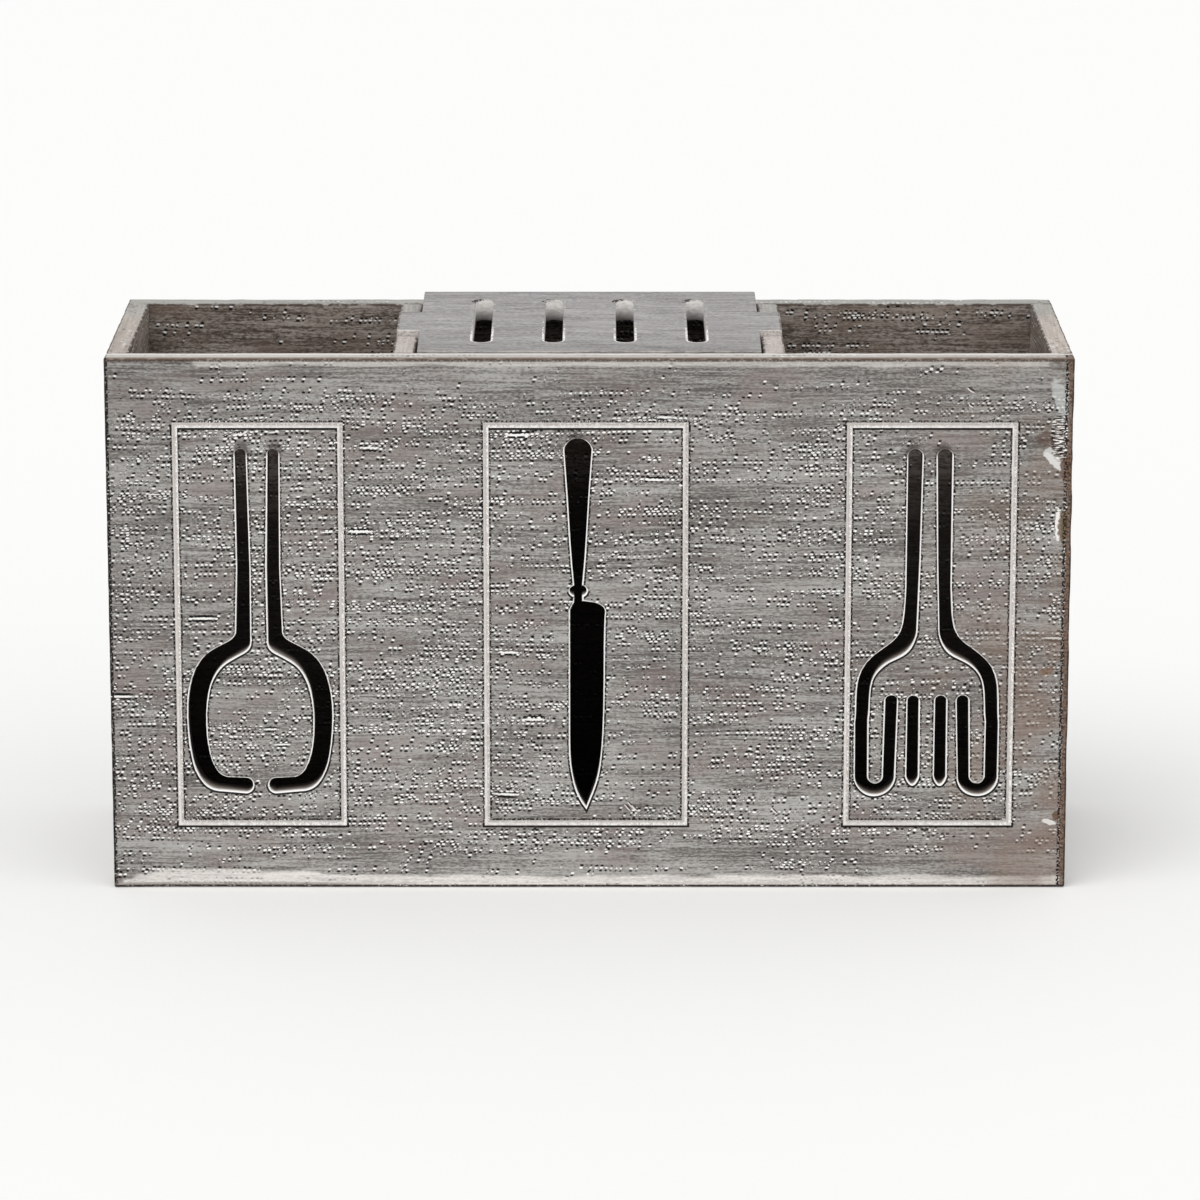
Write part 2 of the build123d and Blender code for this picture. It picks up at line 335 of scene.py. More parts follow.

# %% [markdown]
# Most white beads have a dark one close above or below, a painted shadow beside the bead: the same cells,
# looked up a little to the side.
# Here and there a row has run together into one long dash.

# %% Pores group
pores, given, made = new_group(
    "wood pores",
    [("Place", "Vector", (0, 0, 0)), ("Amount", "Float", 1.0)],
    [("White", "Float"), ("PoreShade", "Float")])
limit = minus(1.66, times(given["Amount"], 0.40))
dash_shape = {"Cell": (13.0, 1.7, 2.9), "Half Size": (4.6, 1.2, 0.42), "Limit": plus(limit, 0.3)}
bead = use_group(beads, {"Place": given["Place"], "Limit": limit})
dash = use_group(beads, {"Place": given["Place"], **dash_shape})
white, dark = largest(bead["Bead"], dash["Bead"]), 0.0
# The dark twins are painted shadow: black dots just above or below the white beads.
for shift, low, high in (((0.3, 0, 0.9), 0.1, 1.0), ((-0.3, 0, -0.9), 0.0, 0.75)):
    shifted = move("ADD", given["Place"], shift)
    for inputs in ({"Limit": limit, "Half Size": (0.74, 0.9, 0.45)}, dash_shape):
        twin = use_group(beads, {"Place": shifted, **inputs})
        shown = times(calculate("GREATER_THAN", twin["Lot"], low), calculate("LESS_THAN", twin["Lot"], high))
        dark = largest(dark, times(twin["Bead"], shown))
feed(made["White"], white)
feed(made["PoreShade"], dark)
print("pores group:", len(pores.nodes), "nodes")

# %% [markdown]
# ## Distance to the nearest edge
#
# Wear follows the edges of a board. On the surface of a box the nearest face is at distance zero, so
# the middle one of the three distances to its faces tells how far the nearest edge is. Computed this
# way it needs no painted map and works for every board. The ragged wear and the dark line of stain
# that stays right on the corner come from the same distance.

# %% Edge wear group
edge_wear, given, made = new_group(
    "edge wear",
    [("Place", "Vector", (0, 0, 0)), ("Middle", "Vector", (0, 0, 0)), ("Half Size", "Vector", (1, 1, 1)),
     ("Width", "Float", 1.2)],
    [("Worn", "Float"), ("Stained", "Float")])
folded = move("ABSOLUTE", move("SUBTRACT", given["Place"], given["Middle"]))
gaps = parts(move("SUBTRACT", given["Half Size"], folded))
nearer = smallest(gaps["X"], gaps["Y"])
farther = largest(gaps["X"], gaps["Y"])
edge_gap = largest(nearer, smallest(farther, gaps["Z"]))
ragged = minus(spots(given["Place"], (5, 3, 3), detail=4), 0.40)
reach = times(ragged, 5.0, given["Width"])
worn = between(minus(reach, edge_gap), -0.5, 0.7)
broken = between(spots(given["Place"], (4, 4, 4), detail=3), 0.36, 0.52)
corner = between(edge_gap, 1.0, 0.5)
feed(made["Worn"], worn)
feed(made["Stained"], times(corner, broken))
print("edge group:", len(edge_wear.nodes), "nodes")

# %% [markdown]
# ## Inside, outside and top
#
# The same board is finished differently on its faces. The inside of the box got the brown stain and
# little wash, and its colour is darkened downwards as painted shade, deep in the box where little light
# falls. The top edges were sanded after assembly, so they show pale bare wood.

# %% Zones group
inner_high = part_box("bottom_board")[1] / mm
top_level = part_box("front_board")[1].z / mm
shade_start, shade_full = top_level - 26, 112.0
zones, given, made = new_group(
    "box zones",
    [("Place", "Vector", (0, 0, 0))],
    [("Inside", "Float"), ("Top", "Float"), ("DeepShade", "Float")])
room = parts(move("ABSOLUTE", given["Place"]))
beyond = largest(minus(room["X"], inner_high.x), minus(room["Y"], inner_high.y))
level = parts(given["Place"])["Z"]
feed(made["Inside"], between(beyond, 0.45, 0.05))
feed(made["Top"], between(level, top_level - 0.55, top_level - 0.25))
# Painted shade: the inside darkens downwards towards the bottom of the box.
feed(made["DeepShade"], between(level, shade_start, shade_full))
print("the inner room reaches", [round(v, 1) for v in inner_high], "and the top", round(top_level, 1))

# %% [markdown]
# ## Grey wash
#
# The colour is built as the maker builds it: a brown-grey stain, a thin grey wash that covers it in
# long soft patches, some of them warm where the stain shows, and white pores on top, with dark pores
# beside them as painted shade. Where edges are rubbed, the pale wood shows through.

# %% Wash group
tones = {  # outside and inside the box
    "Stain": ((96, 91, 87), (84, 72, 64)),
    "Wash": ((178, 176, 172), (178, 168, 159)),
    "Warm": ((136, 123, 119), (120, 103, 91))}
wash, given, made = new_group(
    "grey wash",
    [("Place", "Vector", (0, 0, 0)), *((tone, "Color", paint(*pair[0])) for tone, pair in tones.items()),
     ("Pores", "Float", 1.0), ("Contrast", "Float", 1.0), ("Rubbed", "Float", 0.0),
     ("Pale", "Color", paint(190, 181, 173))],
    [("Color", "Color"), ("Roughness", "Float"), ("Height", "Float")])
figure = use_group(grain, {"Place": given["Place"]})
flecks = use_group(pores, {"Place": figure["Wavy"], "Amount": given["Pores"]})
cover = 0.0
for name, weight in (("Bands", 1.0), ("Lines", 1.9), ("Fibres", 1.8)):
    cover = plus(cover, times(minus(figure[name], 0.5), weight))
cover = times(cover, given["Contrast"])
ground = blend(between(cover, -0.5, 0.5), given["Stain"], given["Wash"])
warm_spots = spots(given["Place"], (34, 13, 13), detail=4, roughness=0.6)
ground = blend(between(warm_spots, 0.44, 0.70, 0.0, 0.6), ground, given["Warm"])
rubbed_wood = dimmed(given["Pale"], between(cover, -0.5, 0.5, 0.80, 1.13))
left = minus(1.0, times(given["Rubbed"], 0.6))
dotted = blend(given["Rubbed"], ground, rubbed_wood)
# Painted shade: the dark pores are brushed in as black dots.
dotted = brushed(dotted, (10, 9, 8), flecks["PoreShade"], left)
dotted = brushed(dotted, (250, 248, 245), flecks["White"], left)
feed(made["Color"], dotted)
feed(made["Roughness"], between(figure["Lines"], 0.2, 0.8, 0.78, 0.62))
feed(made["Height"], minus(figure["Lines"], times(flecks["PoreShade"], 0.6)))
print("wash group:", len(wash.nodes), "nodes")

# %% [markdown]
# ## Finish of a board
#
# One function makes the finish of every plain board and divider. It turns the pattern so that the grain
# runs along the board, moves it so that no two boards match, and adds the zones and the wear at the
# board's own edges. The front board and the knife plate have finishes of their own further down.

# %% Board finish
def start_material(name):
    """A matte material, and the place on its piece in millimetres."""
    material = bpy.data.materials.new(name)
    material.use_nodes = True
    material.node_tree.nodes["Principled BSDF"].inputs["Specular IOR Level"].default_value = 0.22
    place = add(material.node_tree, "TexCoord").outputs["Object"]
    return material, move("MULTIPLY", place, [1 / mm] * 3)


def finish_surface(material, color, roughness, height, depth, metallic=0.0):
    """Feeds the shader: colour, roughness and a bump of the given depth in millimetres."""
    bump = add(material.node_tree, "Bump", {"Height": height, "Strength": 0.7, "Distance": depth * mm})
    shader = material.node_tree.nodes["Principled BSDF"].inputs
    for name, source in (("Base Color", color), ("Roughness", roughness), ("Metallic", metallic),
                         ("Normal", bump.outputs["Normal"])):
        feed(shader[name], source)
    return material


def edges_of(place, node, width):
    """The wear and the stain along the edges of a board, from its box."""
    low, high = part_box(node)
    return use_group(edge_wear, {"Place": place, "Middle": (low + high) / 2 / mm,
                                       "Half Size": (high - low) / 2 / mm, "Width": width})


def board_finish(name, node, turned, moved, top):
    """The grey wash of one plain board; turned is for a board whose grain runs front to back."""
    material, place = start_material(name)
    turn = (0, 0, math.pi / 2) if turned else (0, 0, 0)
    mapped = add(place.id_data, "Mapping", {"Vector": place, "Rotation": turn, "Location": moved}).outputs[0]
    zone = use_group(zones, {"Place": place})
    inside = zone["Inside"]
    edges = edges_of(place, node, 0.5)
    rear = between(parts(place)["Y"], 8.0, 40.0, 0.0, 0.8)
    surface = use_group(wash, {
        "Place": mapped, "Rubbed": largest(times(edges["Worn"], 0.6), zone["Top"]),
        "Pores": between(inside, 0.0, 1.0, 0.65, 0.4), "Pale": blend(rear, top, (168, 167, 162)),
        **{tone: blend(inside, *pair) for tone, pair in tones.items()}})
    # Painted shade deep inside the box, darker towards the bottom.
    color = brushed(surface["Color"], (30, 26, 24), zone["DeepShade"], inside, 0.9)
    color = brushed(color, (66, 50, 42), edges["Stained"], 0.85)
    return finish_surface(material, color, surface["Roughness"], surface["Height"], 0.12)


print("board finish ready")

# %% [markdown]
# ## Tools for boards
#
# A board starts as a cube scaled to its box or as a welded copy of its CAD mesh. To be worn it needs
# points, but only near its edges, so a band along every edge is cut into small cells, and the middle
# of each face stays one flat polygon.

# %% Tools for boards
cell = 3.0 * mm
band_lines = [distance * mm for distance in (1.2, 2.4, 4.0, 5.8, 7.9)]
chip_size, splinter_size = 7 * mm, 2.5 * mm
on_plane = 0.0001 * mm
sharp_angle = math.radians(20)


def merged_copy(node):
    """A bmesh from a copy of a CAD node's mesh, its loose triangles welded together."""
    bm = bmesh.new()
    bm.from_mesh(frame["nodes"][node].data)
    bmesh.ops.remove_doubles(bm, verts=bm.verts, dist=0.001 * mm)
    return bm


def only(kind, things):
    """The points, the edges or the faces among the things that an operator made."""
    return [thing for thing in things if isinstance(thing, kind)]


def axis_vector(axis):
    """The unit vector of an axis."""
    return Vector([float(number == axis) for number in range(3)])


def with_borders(faces):
    """Some faces with their points and edges, each once and in the same order in every run."""
    points = [vert for face in faces for vert in face.verts]
    edges = [edge for face in faces for edge in face.edges]
    return list(dict.fromkeys([*points, *edges, *faces]))


def slice_at(bm, axis, places, faces=None):
    """Cuts faces, or all of them, by planes square to an axis."""
    normal = axis_vector(axis)
    for place in places:
        chosen = bm.faces[:] if faces is None else [face for face in bm.faces if faces(face)]
        bmesh.ops.bisect_plane(bm, geom=with_borders(chosen), plane_co=normal * place, plane_no=normal,
                               dist=on_plane)


def band_cells(bm, low, high):
    """Cuts a band along every edge of a board into cells."""
    long_axes = [axis for axis in range(3) if high[axis] - low[axis] > 3 * band_lines[-1]]
    for axis in long_axes:
        slice_at(bm, axis, [low[axis] + line for line in band_lines])
        slice_at(bm, axis, [high[axis] - line for line in band_lines])

    def in_band(face):
        spot = face.calc_center_median()
        return any(spot[axis] < low[axis] + band_lines[-1] or spot[axis] > high[axis] - band_lines[-1]
                   for axis in long_axes)

    for axis in long_axes:
        first, last = low[axis] + band_lines[-1], high[axis] - band_lines[-1]
        count = max(2, round((last - first) / cell))
        slice_at(bm, axis, [first + (last - first) * i / count for i in range(1, count)], in_band)


def wear_edges(bm, low, high, depth, seed, width=5 * mm):
    """Bites small uneven chips out of the edges of a board."""
    for vert in bm.verts:
        gaps = []
        for axis in range(3):
            gaps.append((vert.co[axis] - low[axis], -axis_vector(axis)))
            gaps.append((high[axis] - vert.co[axis], axis_vector(axis)))
        (_, first), (gap, second) = sorted(gaps, key=lambda pair: pair[0])[:2]
        near = max(0.0, 1 - gap / width)
        rough = noise.noise(vert.co / chip_size + Vector((seed, 0, 0)))
        fine = noise.noise(vert.co / splinter_size + Vector((0, seed, 0)))
        bite = depth * near ** 2 * max(0.0, 0.7 * rough + 0.3 * fine + 0.12)
        vert.co -= (first + second) * bite


def make_piece(bm, name, node, body, materials):
    """The finished mesh as an object that stands for a CAD node and rides on its body."""
    bmesh.ops.recalc_face_normals(bm, faces=bm.faces)
    mesh = bpy.data.meshes.new(name)
    bm.to_mesh(mesh)
    bm.free()
    mesh.shade_smooth()
    mesh.set_sharp_from_angle(angle=sharp_angle)
    for material in materials:
        mesh.materials.append(material)
    piece = bpy.data.objects.new(name, mesh)
    bpy.context.scene.collection.objects.link(piece)
    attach(piece, body)
    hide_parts(node)
    print(name, len(mesh.vertices), "points", len(mesh.polygons), "faces")
    return piece


# %% [markdown]
# ## Plain boards
#
# The back board, the side boards and the bottom board are plain. Their outer edges are eased with a
# small round, but not the ends that butt against another board, because a box is sanded after it is
# nailed together and those ends are then hidden. The heads of the brads lie in small pockets, which a
# boolean cut sinks into the outer faces.

# %% Plain boards
edge_round = 0.6 * mm
pocket_radius = 1.15 * mm
pocket_depth = 0.42 * mm


def scaled_cube(low, high):
    """A cube scaled to the box of a board."""
    bm = bmesh.new()
    bmesh.ops.create_cube(bm, size=1.0)
    bmesh.ops.scale(bm, vec=high - low, verts=bm.verts)
    bmesh.ops.translate(bm, vec=(low + high) / 2, verts=bm.verts)
    return bm


def ease(bm, edges):
    """Rounds edges a little."""
    bmesh.ops.bevel(bm, geom=edges, offset=edge_round, offset_type="OFFSET", segments=3, profile=0.5,
                    affect="EDGES", material=-1)


def solid_board(low, high, eased):
    """A board from a cube, with its chosen edges rounded."""
    bm = scaled_cube(low, high)
    ease(bm, [edge for edge in bm.edges if eased((edge.verts[0].co + edge.verts[1].co) / 2)])
    return bm


def round_bar(bm, place, turn, depth):
    """Adds a short round bar as wide as a pocket, and returns its points."""
    made = bmesh.ops.create_cone(bm, cap_ends=True, segments=24, radius1=pocket_radius,
                                 radius2=pocket_radius, depth=depth, matrix=Matrix.Translation(place) @ turn)
    return made["verts"]


def sink_pockets(bm, heads):
    """Sinks a round pocket at each place, along its direction."""
    cutter = bmesh.new()
    for place, direction in heads:
        round_bar(cutter, place, direction.to_track_quat("Z", "Y").to_matrix().to_4x4(), 2 * pocket_depth)
    board_mesh, cutter_mesh = bpy.data.meshes.new("board"), bpy.data.meshes.new("cutter")
    bm.to_mesh(board_mesh)
    cutter.to_mesh(cutter_mesh)
    cutter.free()
    board = bpy.data.objects.new("board", board_mesh)
    tool = bpy.data.objects.new("cutter", cutter_mesh)
    for thing in (board, tool):
        bpy.context.scene.collection.objects.link(thing)
    cut = board.modifiers.new("pockets", "BOOLEAN")
    cut.object = tool
    cut.solver = "EXACT"
    depsgraph = bpy.context.evaluated_depsgraph_get()
    bm.clear()
    bm.from_mesh(board.evaluated_get(depsgraph).to_mesh())
    for thing in (board, tool):
        bpy.data.objects.remove(thing)


def brad_heads(node, direction):
    """The middles of the brad heads of a group, at the face that they were driven through."""
    bm = merged_copy(node)
    heads, seen = [], set()
    for vert in bm.verts:
        if vert.index in seen:
            continue
        todo, island = [vert], []
        while todo:
            point = todo.pop()
            if point.index not in seen:
                seen.add(point.index)
                island.append(point.co.copy())
                todo += [edge.other_vert(point) for edge in point.link_edges]
        first = min(point.dot(direction) for point in island)
        mouth = [point for point in island if point.dot(direction) < first + 0.01 * mm]
        heads.append(sum(mouth, Vector()) / len(mouth))
    bm.free()
    return heads


print("board tools ready")

# %% Back, side and bottom boards
def plain_board(node, moved, top, brads, depth, seed, turned=False, eased=lambda middle: True):
    """One plain board: eased, worn, pocketed for its brads and finished."""
    low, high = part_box(node)
    bm = solid_board(low, high, eased)
    band_cells(bm, low, high)
    wear_edges(bm, low, high, depth, seed)
    heads = []
    for group, direction in brads:
        inward = Vector(direction)
        face = low if sum(inward) > 0 else high
        axis = max(range(3), key=lambda number: abs(inward[number]))
        for place in brad_heads(group, inward):
            place[axis] = face[axis]
            heads.append((place, inward))
    if heads:
        sink_pockets(bm, heads)
    name = node + "_planed"
    return make_piece(bm, name, node, "box", [board_finish(name + "_wash", node, turned, moved, top)])


back_wear, side_wear, front_wear = 0.35 * mm, 0.3 * mm, 0.22 * mm
rear_groups = ["left_rear_brads", "right_rear_brads", "left_divider_rear_brads",
               "right_divider_rear_brads", "rear_floor_brads"]
plain_board("back_board", (310.0, 77.0, -41.0), (160, 156, 151),
            [(group, (0, -1, 0)) for group in rear_groups], back_wear, seed=5.0)
for side, inward, moved, top in (("left", 1, (-120.0, 40.0, 95.0), (179, 170, 162)),
                                 ("right", -1, (260.0, -60.0, 33.0), (191, 181, 172))):
    node = side + "_side_board"
    ends = [corner.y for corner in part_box(node)]
    plain_board(node, moved, top, [(side + "_floor_brads", (inward, 0, 0))], side_wear, seed=11.0 * inward,
                turned=True, eased=lambda middle: min(abs(middle.y - end) for end in ends) > 0.1 * mm)
plain_board("bottom_board", (40.0, -33.0, 12.0), (160, 150, 142), [], depth=0.0, seed=2.0,
            eased=lambda middle: False)

# %% [markdown]
# ## Front board
#
# The outside of the front board is a worn board like the others, with its two flat faces taken off.
# The grooves and the fretted walls come from the CAD mesh, which has them exactly. Every mouth is
# flared with a small uneven round, as sandpaper leaves it, and the flat faces are filled again between
# all of these. The brads of this board are filled over, apart from one.

# %% Front board panels
front_low, front_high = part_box("front_board")
panels = {"spatula": (-123.4, 61.5), "knife": (-1.3, 74.4), "fork": (127.6, 61.5)}  # middle, width
panel_low, panel_high = 25.3, 178.7
panel_level, panel_half = (panel_low + panel_high) / 2, (panel_high - panel_low) / 2
groove_half = 1.1
open_brad = (69.1, 194.6)


def panel_gap(spot):
    """How far a place on the front lies outside the nearest panel's line; less than zero is inside."""
    gaps = []
    for middle, width in panels.values():
        aside = abs(spot.x / mm - middle) - width / 2
        gaps.append(max(aside, abs(spot.z / mm - panel_level) - panel_half))
    return min(gaps)


def on_level(thing, level):
    """Whether every point of a face or an edge lies on a level of Y."""
    return all(abs(vert.co.y - level) < 0.002 * mm for vert in thing.verts)


def front_shell(low, high):
    """The outside of the front board, open where its flat faces were."""
    bm = solid_board(low, high, lambda middle: True)
    band_cells(bm, low, high)
    gone = []
    for face in bm.faces:
        spot = face.calc_center_median()
        edge_gap = min(spot.x - low.x, high.x - spot.x, spot.z - low.z, high.z - spot.z)
        if edge_gap > band_lines[-1] and (on_level(face, low.y) or on_level(face, high.y)):
            gone.append(face)
    bmesh.ops.delete(bm, geom=gone, context="FACES")
    return bm


def add_walls(bm, low, high):
    """Adds the grooves and the fretted walls of the CAD mesh."""
    walls = merged_copy("front_board")
    gone = [face for face in walls.faces
            if panel_gap(face.calc_center_median()) > groove_half
            or on_level(face, low.y) or on_level(face, high.y)]
    bmesh.ops.delete(walls, geom=gone, context="FACES")
    kept = bpy.data.meshes.new("walls")
    walls.to_mesh(kept)
    walls.free()
    bm.from_mesh(kept)


def add_pocket(bm, low, place):
    """Adds the open pocket over the head of one brad."""
    x, z = place
    middle = Vector((x * mm, low.y + pocket_depth / 2, z * mm))
    points = round_bar(bm, middle, Matrix.Rotation(math.pi / 2, 4, "X"), pocket_depth)
    faces = list(dict.fromkeys(face for vert in points for face in vert.link_faces))
    bmesh.ops.reverse_faces(bm, faces=faces)
    bmesh.ops.delete(bm, geom=[face for face in faces if on_level(face, low.y)], context="FACES")


print("panels:", ", ".join(panels))

# %% [markdown]
# ## Mouths of the cut-outs
#
# A mouth is an open loop at the end of a wall. It is set a little deeper first, and then drawn out
# again in three short steps that follow a quarter round, each point along its own outward direction,
# with a width that varies as hand sanding does. On the front a narrow flat ring follows, with an
# attribute that tells how strongly stain has stayed there: most below a mouth and least above it.

# %% Flared mouths
mouth_round = 0.45 * mm
inner_mouth_round = 0.2 * mm
mouth_steps = 3
line_width = 0.75 * mm
line_end = 0.05 * mm


def draw_out(bm, edges, ring):
    """Extrudes an open loop once: its new edges, its new faces, and its new points with the old ones."""
    grown = bmesh.ops.extrude_edge_only(bm, edges=edges)["geom"]
    pairs = []
    for vert in only(BMVert, grown):
        old = next(edge.other_vert(vert) for edge in vert.link_edges if edge.other_vert(vert) in ring)
        pairs.append((vert, old))
    return [edge for edge in only(BMEdge, grown) if edge.is_boundary], only(BMFace, grown), pairs


def line_mouths(bm, edges, ring):
    """Adds the flat ring around the mouths and notes where its stain is."""
    lined = bm.verts.layers.float["lined"]
    for vert, (_, outward, _) in ring.items():
        vert[lined] = 0.6 - 0.5 * outward.normalized().z
    for width, kept in ((line_width, 1.0), (line_end, 0.0)):
        edges, _, pairs = draw_out(bm, edges, ring)
        for vert, old in pairs:
            _, outward, uneven = ring[old]
            vert.co = old.co + outward / uneven * width
            vert[lined] = old[lined] * kept
        ring = {vert: ring[old] for vert, old in pairs}


def flare_mouths(bm, level, inward, width, lined=False):
    """Rounds the open ends of the walls that stop at a level of Y. Returns the new faces."""
    mouth = [edge for edge in bm.edges
             if edge.is_boundary and on_level(edge, level) and abs(edge.link_faces[0].normal.y) < 0.3]
    ring = {}
    for vert in dict.fromkeys(vert for edge in mouth for vert in edge.verts):
        outward = -vert.normal * vert.calc_shell_factor()
        outward.y = 0
        uneven = 1 + 0.4 * noise.noise(vert.co / (6 * mm))
        ring[vert] = (vert.co.copy(), outward * uneven, uneven)
        vert.co.y = level + inward * width * uneven
    edges, flared = mouth, []
    for step in range(1, mouth_steps + 1):
        angle = math.pi / 2 * step / mouth_steps
        edges, faces, pairs = draw_out(bm, edges, ring)
        flared += faces
        for vert, old in pairs:
            start, outward, uneven = ring[old]
            vert.co = start + outward * width * (1 - math.cos(angle))
            vert.co.y = level + inward * width * uneven * (1 - math.sin(angle))
        ring = {vert: ring[old] for vert, old in pairs}
    if lined:
        line_mouths(bm, edges, ring)
    return flared


def fill_flat(bm, level, facing, chosen=lambda spot: True):
    """Fills the open loops on a level of Y, and leaves the loops inside them open."""
    loops = [edge for edge in bm.edges
             if edge.is_boundary and on_level(edge, level)
             and chosen((edge.verts[0].co + edge.verts[1].co) / 2)]
    filled = bmesh.ops.triangle_fill(bm, edges=loops, use_beauty=True, use_dissolve=False,
                                     normal=(0, facing, 0))
    return only(BMFace, filled["geom"])


print("mouths flared by", mouth_round / mm, "mm")

# %% [markdown]
# ## Rubbed places of the front
#
# A planed-down strip runs along the bottom edge, wide at the left and wavy, and a thinner one along
# the top edge. An attribute keeps how much each point of the strips is rubbed, and the finish reads it,
# so shape and colour agree. The right edge has lost chips of wood, which are only shaped here.

# %% Rubbed places
def strip_height(x):
    """How high the rubbed strip of the bottom edge reaches, by the place along the board."""
    start = min(1.0, max(0.0, (x + 179 * mm) / (15 * mm)))
    tail = 4.4 + 2.4 * math.exp(-((x / mm + 150) / 52) ** 2)
    wave = 0.7 * noise.noise(Vector((x / (19 * mm), 0, 4.2)))
    return (tail + wave) * mm * math.sqrt(start)


def top_strip(x):
    """How deep the rubbed strip of the top edge reaches."""
    inside = -146 * mm < x < 171 * mm
    return (3.1 + 0.8 * noise.noise(Vector((x / (24 * mm), 3.1, 0)))) * mm if inside else 0.0


chips = [  # on the right edge: height, half height, reach from the edge and depth, in mm
    (176.0, 9.0, 5.0, 0.6),
    (160.0, 7.0, 4.0, 0.7),
    (138.0, 7.0, 3.0, 0.6),
    (104.0, 12.0, 2.5, 0.4),
    (52.0, 10.0, 2.5, 0.5)]


def rub_front(bm, low, high):
    """Shapes the rubbed strips and the chipped edge, and notes how much each point is rubbed."""
    rubbed = bm.verts.layers.float.new("rubbed")
    for vert in bm.verts:
        x, y, z = vert.co
        on_face = max(0.0, 1 - (y - low.y) / (1.5 * mm))
        for gap, height, slope in ((z - low.z, strip_height(x), 0.10), (high.z - z, top_strip(x), 0.07)):
            inside = max(0.0, height - gap)
            if on_face > 0 and inside > 0:
                vert.co.y += inside * slope * on_face
                vert[rubbed] = max(vert[rubbed], min(1.0, 0.35 + inside / (1.6 * mm)) * on_face)
        for middle, half, reach, depth in chips:
            across = (high.x - x) / (reach * mm)
            along = (z / mm - middle) / half
            torn = 1 - across ** 2 - along ** 2 + 0.5 * noise.noise(vert.co / (2.2 * mm))
            if torn > 0:
                bite = depth * mm * min(1.0, torn * 1.6)
                vert.co.x -= bite * 0.35 * max(0.0, 1 - across)
                vert.co.y += bite * on_face


print("strip at the left", round(strip_height(-0.14) / mm, 1), "mm, at the right",
      round(strip_height(0.15) / mm, 1), "mm")

# %% [markdown]
# ## Finish of the front
#
# The front has its own finish on top of the grey wash. Fewer pores show near the top and the
# bottom, the face is darker near the top and the ends, and brown shows at the right. A dark line of
# stain follows every groove and every mouth, strongest on the lower lips, and soft painted shade lies
# over the tops of the long strokes. The planed strips are whitish, the back edge of the top carries a
# thin painted highlight, and a band along the bottom at the left is painted shade. The right edge is
# scraped: white wash and brown wood show there, and short scratches lie elsewhere.

# %% Front finish
def painted(place, name):
    """A painted attribute of the piece, in the tree of a place."""
    return add(place.id_data, "Attribute", attribute_name=name).outputs["Fac"]


def panel_distance(place):
    """How far a place lies from the nearest panel's line."""
    nearest = 1000.0
    for middle, width in panels.values():
        offset = move("ABSOLUTE", move("SUBTRACT", place, (middle, 0, panel_level)))
        gap = parts(move("SUBTRACT", offset, (width / 2, 0, panel_half)))
        nearest = smallest(nearest, calculate("ABSOLUTE", largest(gap["X"], gap["Z"])))
    return nearest


def groove_stain(place):
    """How strongly stain has stayed beside the grooves: most below a level one, least above it."""
    level = minus(parts(place)["Z"], panel_level)
    over = minus(calculate("ABSOLUTE", level), panel_half)
    under = calculate("LESS_THAN", times(over, level), 0.0)
    crosswise = between(calculate("ABSOLUTE", over), 2.1, 2.0)
    swing = times(crosswise, between(under, 0.0, 1.0, -0.02, 0.6))
    return times(between(panel_distance(place), 1.95, 1.75), plus(swing, 0.6))


any_depth = 1000


def leaning(place, middle, lean=0):
    """The offset of a place from a spot on the front, turned by a lean in degrees."""
    offset = move("SUBTRACT", place, (middle[0], 0, middle[1]))
    turn = (0, math.radians(lean), 0)
    return add(place.id_data, "Mapping", {"Vector": offset, "Rotation": turn}).outputs[0]


def oval(offset, half):
    """How far an offset on the front reaches, in the half sizes of an oval."""
    return length(offset, (half[0], any_depth, half[1]))


scrapes = [  # beside the right edge: place and half sizes in mm, lean in degrees, share and colour
    ((175.6, 188.0), (3.0, 9.0), 20, 0.55, (205, 207, 204)),
    ((169.6, 173.8), (3.6, 2.8), 0, 0.75, (92, 74, 66)),
    ((173.4, 164.6), (5.6, 1.7), -42, 0.85, (226, 225, 222)),
    ((170.6, 168.6), (2.2, 1.3), 30, 0.7, (214, 213, 210)),
    ((174.9, 140.5), (1.2, 6.5), 0, 0.95, (240, 236, 232)),
    ((177.0, 140.0), (2.2, 6.8), 0, 0.9, (104, 86, 60)),
    ((177.6, 163.0), (2.4, 6.0), 0, 0.9, (98, 72, 56)),
    ((171.9, 84.5), (2.6, 1.6), 15, 0.5, (126, 92, 64)),
    ((173.6, 25.6), (3.0, 1.0), -18, 0.85, (232, 229, 224)),
    ((176.4, 28.2), (1.7, 1.6), 0, 0.8, (98, 68, 46))]


def scrape(place, color, dots):
    """Adds the scraped places beside the right edge, its splinters and its bare brown rim."""
    torn = minus(spots(place, (2.6, 3, 1.5), detail=4, roughness=0.6), 0.5)
    for middle, half, lean, share, bare in scrapes:
        away = plus(oval(leaning(place, middle, lean), half), times(torn, 1.6))
        color = brushed(color, bare, between(away, 1.1, 0.8, 0.0, share))
    inside = between(oval(leaning(place, (175.2, 174.0)), (3.8, 9.5)), 1.1, 0.8)
    splinters = spots(place, (2.8, 3, 0.55), detail=2)
    for low, high, bare in ((0.47, 0.42, (18, 14, 12)), (0.54, 0.58, (246, 243, 240))):
        color = brushed(color, bare, inside, between(splinters, low, high))
    edge = plus(parts(place)["X"], times(torn, 2.4))
    brown = blend(between(dots, 0.5, 0.58), (116, 90, 72), (62, 46, 37))
    color = blend(between(edge, 177.7, 178.1, 0.0, 0.85), color, brown)
    return brushed(color, (24, 18, 15), between(edge, 176.5, 176.9), between(edge, 178.1, 177.7),
                   between(dots, 0.44, 0.5))


